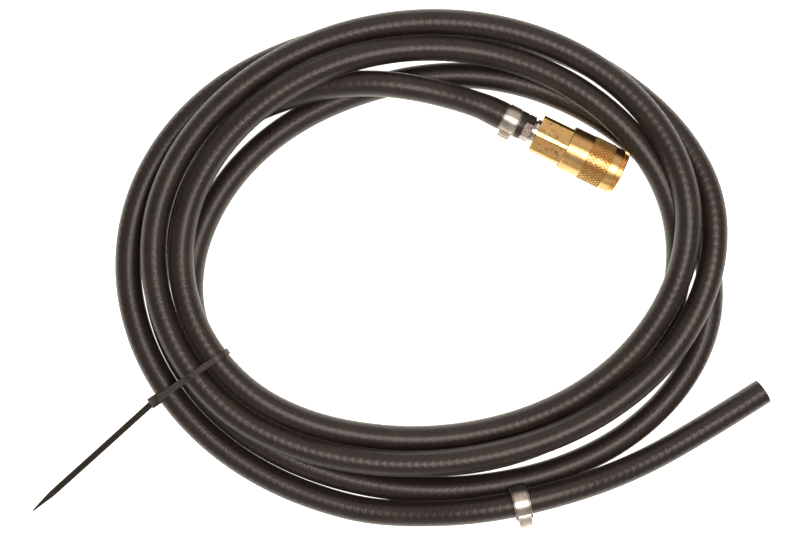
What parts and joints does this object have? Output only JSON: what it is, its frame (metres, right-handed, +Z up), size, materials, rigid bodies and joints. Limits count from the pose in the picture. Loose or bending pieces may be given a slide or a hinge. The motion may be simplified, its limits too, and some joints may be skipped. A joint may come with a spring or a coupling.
{
  "type": "air and fluid hose with quick coupler",
  "caption": "Coiled black rubber hose with a clamped brass quick coupler on one end, a loose ear clamp near the cut end and a nylon tie round the coil.",
  "frame": {"origin": "on the surface the coil lies on, under the middle of the object's box", "axes": "+Z up, the thin way through the coil; +X along the coil's long side, towards the cut end; the coupler's mouth points 26.1 degrees clockwise of +X"},
  "size_m": [0.4329, 0.2998, 0.038],
  "materials": {
    "hose_rubber": "semi-matt black rubber cover with the braid showing through",
    "brass": "turned and knurled brass, lightly stained",
    "plated_steel": "zinc plated, satin",
    "stainless": "bright stainless strip",
    "bright_washer": "bright",
    "black_nylon": "satin",
    "nitrile": "matt",
    "spring_steel": "drawn wire",
    "ball_steel": "polished"
  },
  "bodies": {
    "hose_and_coupler": {"hose_coil": "hose_rubber", "hose_lead": "hose_rubber", "hose_free_end": "hose_rubber", "cable_tie": "black_nylon", "hose_tail": "plated_steel", "clamp_inner_ring": "stainless", "clamp_band": "stainless", "seal_washer": "bright_washer", "coupler_adapter": "brass", "body_seal": "nitrile", "coupler_body": "brass", "plug_seal": "nitrile", "valve_spring": "spring_steel", "sleeve_spring": "spring_steel", "snap_ring": "spring_steel"},
    "sleeve": {"sleeve": "brass"},
    "valve": {"valve": "brass", "valve_seal": "nitrile"},
    "loose_ring": {"loose_clamp_ring": "stainless"},
    "loose_band": {"loose_clamp_band": "stainless"},
    "ball_1": {"locking_ball_1": "ball_steel"},
    "ball_2": {"locking_ball_2": "ball_steel"},
    "ball_3": {"locking_ball_3": "ball_steel"},
    "ball_4": {"locking_ball_4": "ball_steel"},
    "ball_5": {"locking_ball_5": "ball_steel"},
    "ball_6": {"locking_ball_6": "ball_steel"}
  },
  "joints": [
    {"name": "sleeve_slide", "type": "slide", "parent": "hose_and_coupler", "child": "sleeve", "axis": [-0.898, 0.4399, 0], "range_m": [0, 0.0045], "stiffness_N_per_m": 1500, "springref_m": -0.005, "deforming": ["sleeve_spring"]},
    {"name": "valve_slide", "type": "slide", "parent": "hose_and_coupler", "child": "valve", "axis": [-0.898, 0.4399, 0], "range_m": [0, 0.0045], "stiffness_N_per_m": 800, "springref_m": -0.004, "deforming": ["valve_spring"]},
    {"name": "loose_clamp_slide", "type": "slide", "parent": "hose_and_coupler", "child": "loose_ring", "axis": [0.9755, 0.2202, 0], "range_m": [-0.006, 0.006]},
    {"name": "loose_clamp_turn", "type": "hinge", "parent": "loose_ring", "child": "loose_band", "pos_m": [0.06965, -0.13595, 0.0208], "axis": [0.9755, 0.2202, 0], "range_deg": [-60, 60]},
    {"name": "ball_1_slide", "type": "slide", "parent": "hose_and_coupler", "child": "ball_1", "axis": [-0.22, -0.449, 0.866], "range_m": [0, 0.00096]},
    {"name": "ball_2_slide", "type": "slide", "parent": "hose_and_coupler", "child": "ball_2", "axis": [-0.4399, -0.898, 0], "range_m": [0, 0.00096]},
    {"name": "ball_3_slide", "type": "slide", "parent": "hose_and_coupler", "child": "ball_3", "axis": [-0.22, -0.449, -0.866], "range_m": [0, 0.00096]},
    {"name": "ball_4_slide", "type": "slide", "parent": "hose_and_coupler", "child": "ball_4", "axis": [0.22, 0.449, -0.866], "range_m": [0, 0.00096]},
    {"name": "ball_5_slide", "type": "slide", "parent": "hose_and_coupler", "child": "ball_5", "axis": [0.4399, 0.898, 0], "range_m": [0, 0.00096]},
    {"name": "ball_6_slide", "type": "slide", "parent": "hose_and_coupler", "child": "ball_6", "axis": [0.22, 0.449, 0.866], "range_m": [0, 0.00096]}
  ],
  "couplings": [
    {"joint": "ball_1_slide", "follows": "sleeve_slide", "ratio": 0.211},
    {"joint": "ball_2_slide", "follows": "sleeve_slide", "ratio": 0.211},
    {"joint": "ball_3_slide", "follows": "sleeve_slide", "ratio": 0.211},
    {"joint": "ball_4_slide", "follows": "sleeve_slide", "ratio": 0.211},
    {"joint": "ball_5_slide", "follows": "sleeve_slide", "ratio": 0.211},
    {"joint": "ball_6_slide", "follows": "sleeve_slide", "ratio": 0.211}
  ]
}
